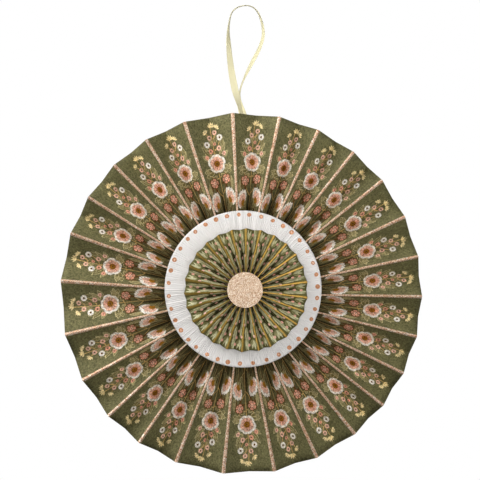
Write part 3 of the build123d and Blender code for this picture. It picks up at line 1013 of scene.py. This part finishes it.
# --------------------------------------------------------------- small fan
small_hub, small_rim, small_pleat, small_paper = 5.0, 52.0, 11.0, 0.22
small_long = small_rim - small_hub
small_ridges = [0.8, 14.4, 28.0, 41.5, 54.6, 68.0, 82.5, 97.0, 110.4, 124.0,
                139.0, 156.5, 168.0, 184.0, 198.5, 212.5, 226.3, 239.7, 253.8,
                267.2, 280.8, 293.9, 307.6, 321.1, 333.6, 347.3]
leaf_green = linear(104, 103, 60)
leaf_sage = linear(158, 157, 112)
leaf_sage_pale = linear(220, 219, 180)
# the line ink at its brightest, where its painted highlight falls
leaf_line_highlight = linear(212, 170, 84)
leaf_ochre = linear(140, 118, 50)
leaf_moss = linear(110, 102, 54)
# dark inks for painted shade: under the broad leaves and beside the valley fold
leaf_painted_shade = linear(70, 65, 32)
leaf_painted_deep_shade = linear(44, 39, 14)
leaf_dot = linear(247, 200, 184)
plateau = small_pleat - 0.15


def blend(a, b, w):
    return tuple(p + (q - p) * w for p, q in zip(a, b))


def spear(s, x, y, turn, length, width, body, barb):
    """A broad leaf, its edge cut into pointed lobes, over a larger dark leaf shape that is a painted shadow
    beneath it.
    """
    c, n = cos(radians(turn)), sin(radians(turn))
    # painted shadow: a dark, larger copy of the leaf, set under it
    s.leaf(x - 0.8 * n, y - 0.8 * c, turn, length * 1.06, width * 1.25, leaf_painted_shade, n=7)
    for k in range(6):
        t = 0.04 + 0.15 * k
        for side in (-1, 1):
            s.leaf(x + length * t * n, y + length * t * c, turn + (38 - 4 * k) * side,
                   length * 0.30 + (0.5 - abs(t - 0.35)) * width * 0.55, 0.30 * width,
                   barb if (k + (side > 0)) % 3 else body, bend=-0.10 * side, n=6)
    s.leaf(x, y, turn, length, width * 0.42, barb, n=6)
    s.leaf(x + 0.06 * length * n, y + 0.06 * length * c, turn, length * 0.8, 0.13 * width, leaf_moss, n=4)


def leaf_sheet(slip, painted_glint):
    """The small fan's print over one valley. slip is how far the print lies off the folds; the second
    argument sets how bright its lines are, a painted highlight that is strongest on the fan's right side."""
    s = Print()
    s.bands = []
    rows = np.linspace(0, small_long, 17)
    # painted highlight: where it falls the middle line is blended from ochre towards the bright line ink and
    # the bands narrow
    middle = blend(leaf_ochre, leaf_line_highlight, 0.25 + 0.75 * painted_glint)
    for half, wave, ink in ((2.9 - 0.5 * painted_glint, 0.50, leaf_moss), (2.0 - 0.2 * painted_glint, 0.40, leaf_ochre),
                            (1.05, 0.30, middle)):
        for line in (-small_pleat + slip, small_pleat + slip):
            s.bands.append((line - half, line + half, ink))
            u0, u1 = max(line - half, -plateau), min(line + half, plateau)
            if u1 - u0 < 0.1:
                continue
            sway = wave * np.sin(pi * rows / small_long)
            low = u0 + sway * np.sin(0.61 * rows + 7 * half) * (u0 > -plateau)
            top = u1 + sway * np.sin(0.53 * rows + 5 * half + 1) * (u1 < plateau)
            low[[0, -1]], top[[0, -1]] = u0, u1
            s.add([*zip(low, rows), *zip(top[::-1], rows[::-1])], ink)
    strips = len(s.outlines)
    # painted shade: dark leaf shapes along the valley fold, where the fold's shade falls
    for k, y in enumerate(np.arange(2.0, 30.0, 5.0)):
        for side in (-1, 1):
            s.leaf(side * 1.2 + slip, y + (2.5 if side < 0 else 0), side * (6 + 4 * sin(1.9 * k)),
                   8.2, 2.6, leaf_painted_deep_shade if (k + (side > 0)) % 2 else leaf_painted_shade, bend=0.04 * side, n=6)
    # broad leaves, with dots between them
    spear(s, 6.4 + slip, 3.0, 1, 21.0, 5.4, leaf_sage, leaf_sage_pale)
    spear(s, 4.9 + slip, 26.0, -4, 20.0, 7.4, leaf_sage, leaf_sage_pale)
    spear(s, -6.6 + slip, 12.0, 3, 22.0, 5.6, leaf_sage, leaf_sage_pale)
    for turn in (-46, -16, 16, 44):
        s.leaf(-5.6 + slip, 37.4, turn, 9.0, 3.2, leaf_sage_pale if abs(turn) < 20 else leaf_sage,
               bend=0.06, vein=leaf_moss, n=6)
    for x, y in ((1.0, 42.6), (0.2, 36.6), (-2.4, 30.6), (0.9, 22.6), (-2.2, 15.4), (2.4, 12.0),
                 (-8.4, 34.6), (-5.2, 8.0), (8.6, 24.4)):
        s.disc(x + slip, y, 1.85, leaf_dot, 11, stretch=0.74)
    s.outlines[:strips] = [[(min(max(x, -plateau), plateau), y) for x, y in o]
                           for o in s.outlines[:strips]]
    s.outlines[strips:] = [[(min(max(x, -plateau), plateau), min(max(y, 0.3), small_long - 0.3))
                            for x, y in o] for o in s.outlines[strips:]]
    return s


small_rows = np.linspace(0, small_long, 25)
shell = Shell()
small_list = gore_list(small_ridges)
small_gores = [Gore(mid, gap, small_pleat, small_paper, small_hub, small_rim, 39.60, 38.80,
                    centre=(4.0, 3.0), lean=0.10, bow=tuple(rng.uniform(-0.22, 0.22, 2)))
               for mid, gap in small_list]
small_rear_rows = np.linspace(0, 1, 9)
ridge_front, ridge_rear = {}, {}
for g, gore in enumerate(small_gores):
    # the print creeps off the folds on the fan's left half
    slip = -1.8 * (0.5 + 0.5 * cos(radians(gore.mid - 310)))
    # painted highlight on the lines, brightest at clock 85 on the fan's right side
    small_print = leaf_sheet(slip, 0.5 + 0.5 * cos(radians(gore.mid - 85)))
    marks = [u for band in small_print.bands for u in band[:2]]
    cols_u = [u for u in (-8.2, -5.5, -2.75, 0.0, 2.75, 5.5, 8.2)
              if u == 0 or min(abs(u - m) for m in marks) > 0.3]
    edge = ([(-small_pleat, 0.0)] + [(x, 0.0) for x in cols_u] + [(small_pleat, y) for y in small_rows]
            + [(x, small_long) for x in cols_u[::-1]] + [(-small_pleat, y) for y in small_rows[::-1][:-1]])
    grid = [(x, y) for y in small_rows[1:-1] for x in (-6, -3, 3, 6)]
    lines = [[(0.0, y) for y in small_rows], [(plateau, y) for y in small_rows],
             [(-plateau, y) for y in small_rows]]
    sm_v, sm_t, sm_top = small_print.mesh(edge, lines, grid)
    sm_l = chain(np.abs(sm_v[:, 0] + small_pleat) < 1e-4, sm_v[:, 1])
    sm_r = chain(np.abs(sm_v[:, 0] - small_pleat) < 1e-4, sm_v[:, 1])
    sm_hubs = chain(np.abs(sm_v[:, 1]) < 1e-4, sm_v[:, 0])
    sm_rims = chain(np.abs(sm_v[:, 1] - small_long) < 1e-4, sm_v[:, 0])
    assert len(sm_hubs) == len(sm_rims) and len(sm_l) == len(sm_r) == len(small_rows)
    pts = gore.at(sm_v[:, 0], sm_v[:, 1] / small_long)
    ids = np.array(shell.add(pts))
    nxt = (g + 1) % 26
    if g in ridge_front:
        ids[sm_l] = ridge_front[g]
    else:
        ridge_front[g] = ids[sm_l]
    if nxt in ridge_front:
        ids[sm_r] = ridge_front[nxt]
    else:
        ridge_front[nxt] = ids[sm_r]
    for t, k in zip(sm_t, sm_top):
        ink = leaf_green if k == 0 else small_print.inks[k - 1]
        u = sm_v[list(t), 0].mean()
        if abs(u) > plateau:
            for u0, u1, band_ink in small_print.bands:
                if u0 <= u <= u1:
                    ink = band_ink
        shell.face(ids[list(t)], 0, ink)
    cols = []
    for i in sm_rims:
        u = sm_v[i, 0]
        if abs(abs(u) - small_pleat) < 1e-4:
            key = g if u < 0 else nxt
            if key not in ridge_rear:
                ridge_rear[key] = shell.add(gore.at(u, small_rear_rows, rear=True))
            cols.append(ridge_rear[key])
        else:
            cols.append(shell.add(gore.at(u, small_rear_rows, rear=True)))
    for a, b in zip(cols, cols[1:]):
        for k in range(len(small_rear_rows) - 1):
            shell.face((a[k], a[k + 1], b[k + 1], b[k]), 1)
    rim_front, hub_front = ids[sm_rims], ids[sm_hubs]
    for j in range(len(cols) - 1):
        shell.face((cols[j][-1], rim_front[j], rim_front[j + 1], cols[j + 1][-1]), 1, smooth=False)
        shell.face((hub_front[j], cols[j][0], cols[j + 1][0], hub_front[j + 1]), 1, smooth=False)


class Renumber:
    """Lets the lap use the small fan's paper slot."""

    def __init__(self, shell):
        self.shell = shell

    def add(self, pts):
        return self.shell.add(pts)

    def face(self, ids, slot=0, ink=(0.5, 0.5, 0.5), smooth=True):
        self.shell.face(ids, 1, ink, smooth)


lap_flap(Renumber(shell), small_gores[10], 20.0, 4.5)
small_fan = shell.build("small_fan_paper", [leaf_print, paper_back])
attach(small_fan, "root")
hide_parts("small_fan")

# ------------------------------------------------------------- centre disc
disc_x, disc_z, disc_r, disc_t, disc_base = 3.2, 3.2, 15.0, 0.6, 39.60
shell = Shell()
pts, step = [], 0.40
for i in range(-40, 41):
    for j in range(-40, 41):
        x = (i + 0.5 * (j % 2)) * step + rng.uniform(-0.12, 0.12)
        z = j * step * 0.87 + rng.uniform(-0.12, 0.12)
        if hypot(x, z) < disc_r - 0.32:
            pts.append((x, z))
round_n = 150
rim_pts = [(disc_r * 0.992 * sin(2 * pi * i / round_n), disc_r * 0.992 * cos(2 * pi * i / round_n))
           for i in range(round_n)][::-1]
v3, _, f3, _, _, _ = delaunay_2d_cdt([Vector(p) for p in rim_pts + pts], [],
                                     [list(range(round_n))], 1, 1e-5)
v3 = np.array([tuple(p) for p in v3])
far_in = np.hypot(v3[:, 0], v3[:, 1]) < disc_r - 0.3
rise = np.where(far_in, np.clip(rng.normal(-0.03, 0.05, len(v3)), -0.14, 0.06), -0.10)
ids = shell.add(np.stack([v3[:, 0] + disc_x, -(disc_base + disc_t + rise), v3[:, 1] + disc_z], 1))
for tri in f3:
    shell.face(ids[list(tri)], 0, smooth=False)
ring = [i for i in range(len(v3)) if not far_in[i] and abs(hypot(*v3[i]) - disc_r * 0.992) < 0.01]
ring.sort(key=lambda i: np.arctan2(v3[i, 0], v3[i, 1]))
levels = [ids[ring]]
for r, h in ((disc_r, disc_base + disc_t - 0.16), (disc_r, disc_base)):
    a = np.arctan2(v3[ring, 0], v3[ring, 1])
    levels.append(shell.add(np.stack([r * np.sin(a) + disc_x, 0 * a - h, r * np.cos(a) + disc_z], 1)))
for a, b, slot in zip(levels, levels[1:], (0, 1)):
    for i in range(len(ring)):
        j = (i + 1) % len(ring)
        shell.face((a[i], a[j], b[j], b[i]), slot)
shell.face(levels[-1], 1, smooth=False)
centre_disc = shell.build("centre_disc_glitter", [champagne_glitter, paper_back])
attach(centre_disc, "root")
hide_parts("centre_disc")

# ---------------------------------------------------- carried-over CAD nodes
for node, material in (("back_disc", plain_card), ("small_fan_pad", grey_board)):
    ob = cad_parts[node]
    if not ob.material_slots:
        ob.data.materials.append(material)
    for s in ob.material_slots:
        s.material = material

# ------------------------------------------------------------------- stage
floor_mesh = bpy.data.meshes.new("floor")
floor_mesh.from_pydata([(-4, -4, -1.5), (4, -4, -1.5), (4, 4, -1.5), (-4, 4, -1.5)],
                       [], [(0, 1, 2, 3)])
floor = bpy.data.objects.new("floor", floor_mesh)
root_collection.objects.link(floor)
pale = Nodes("pale_floor")
spot = pale.noise(pale.place(), 60.0, 2.0)
pale.set(pale.shader, {"Base Color": pale.mix(spot, linear(236, 236, 234), linear(242, 242, 240)),
                       "Roughness": pale.span(spot, 0.3, 0.7, 0.8, 0.9)})
floor_mesh.materials.append(pale.material)
floor.visible_diffuse = False            # the floor's own lamp doesn't light the fan
floor.visible_glossy = False

world = bpy.data.worlds.new("studio")
scene.world = world
world.use_nodes = True
wt = world.node_tree
wt.nodes.clear()
w_out = wt.nodes.new("ShaderNodeOutputWorld")
w_mix = wt.nodes.new("ShaderNodeMixShader")
w_path = wt.nodes.new("ShaderNodeLightPath")
w_fill = wt.nodes.new("ShaderNodeBackground")
w_back = wt.nodes.new("ShaderNodeBackground")
w_fill.inputs["Color"].default_value = (1.0, 0.99, 0.97, 1)
w_fill.inputs["Strength"].default_value = 0.02
w_back.inputs["Color"].default_value = (1, 1, 1, 1)
w_back.inputs["Strength"].default_value = 1.0
wt.links.new(w_path.outputs["Is Camera Ray"], w_mix.inputs[0])
wt.links.new(w_fill.outputs[0], w_mix.inputs[1])
wt.links.new(w_back.outputs[0], w_mix.inputs[2])
wt.links.new(w_mix.outputs[0], w_out.inputs["Surface"])


def lamp(name, clock, lean, far, size, power, colour=(1, 1, 1)):
    """A square soft light aimed at the centre: clock direction seen from the
    front, leaning from the front axis by lean degrees."""
    data = bpy.data.lights.new(name, "AREA")
    data.shape = "SQUARE"
    data.size = size
    data.energy = power
    data.color = colour
    ob = bpy.data.objects.new(name, data)
    root_collection.objects.link(ob)
    a, b = radians(clock), radians(lean)
    way = Vector((sin(a) * sin(b), -cos(b), cos(a) * sin(b)))
    ob.location = way * far
    ob.rotation_mode = "QUATERNION"
    ob.rotation_quaternion = way.to_track_quat("Z", "Y")
    return ob


warm = (1.0, 0.975, 0.95)
lamp("key", 314, 68, 1.1, 0.9, 12.8, warm)
lamp("front", 150, 5, 0.7, 0.4, 2.0, warm)
lamp("side", 75, 45, 0.6, 0.4, 1.0, warm)
lamp("back_fill", 20, 150, 2.6, 1.6, 44)
floor_data = bpy.data.lights.new("floor_wash", "AREA")
floor_data.shape = "SQUARE"
floor_data.size = 11.0
floor_data.energy = 330
floor_wash = bpy.data.objects.new("floor_wash", floor_data)
root_collection.objects.link(floor_wash)
floor_wash.location = (0, 0, -0.6)


def small_spot(name, clock, lean, far, power, aim, reach):
    """A soft-edged spot that lights only the ribbon loop."""
    data = bpy.data.lights.new(name, "SPOT")
    data.energy = power
    data.spot_size = 2 * atan(reach / far)
    data.spot_blend = 0.7
    data.shadow_soft_size = 0.12
    data.color = warm
    ob = bpy.data.objects.new(name, data)
    root_collection.objects.link(ob)
    a, b = radians(clock), radians(lean)
    way = Vector((sin(a) * sin(b), -cos(b), cos(a) * sin(b)))
    ob.location = Vector(aim) + way * far
    ob.rotation_mode = "QUATERNION"
    ob.rotation_quaternion = way.to_track_quat("Z", "Y")
    return ob


small_spot("loop_right", 84, 84, 1.6, 74, (0.004, -0.016, 0.205), 0.068)
small_spot("loop_left", 276, 80, 1.6, 17, (0.004, -0.016, 0.205), 0.068)
small_spot("loop_under", 180, 60, 1.6, 52, (0.004, -0.016, 0.205), 0.068)
small_spot("loop_top", 188, 48, 1.6, 180, (0.000, -0.016, 0.243), 0.036)
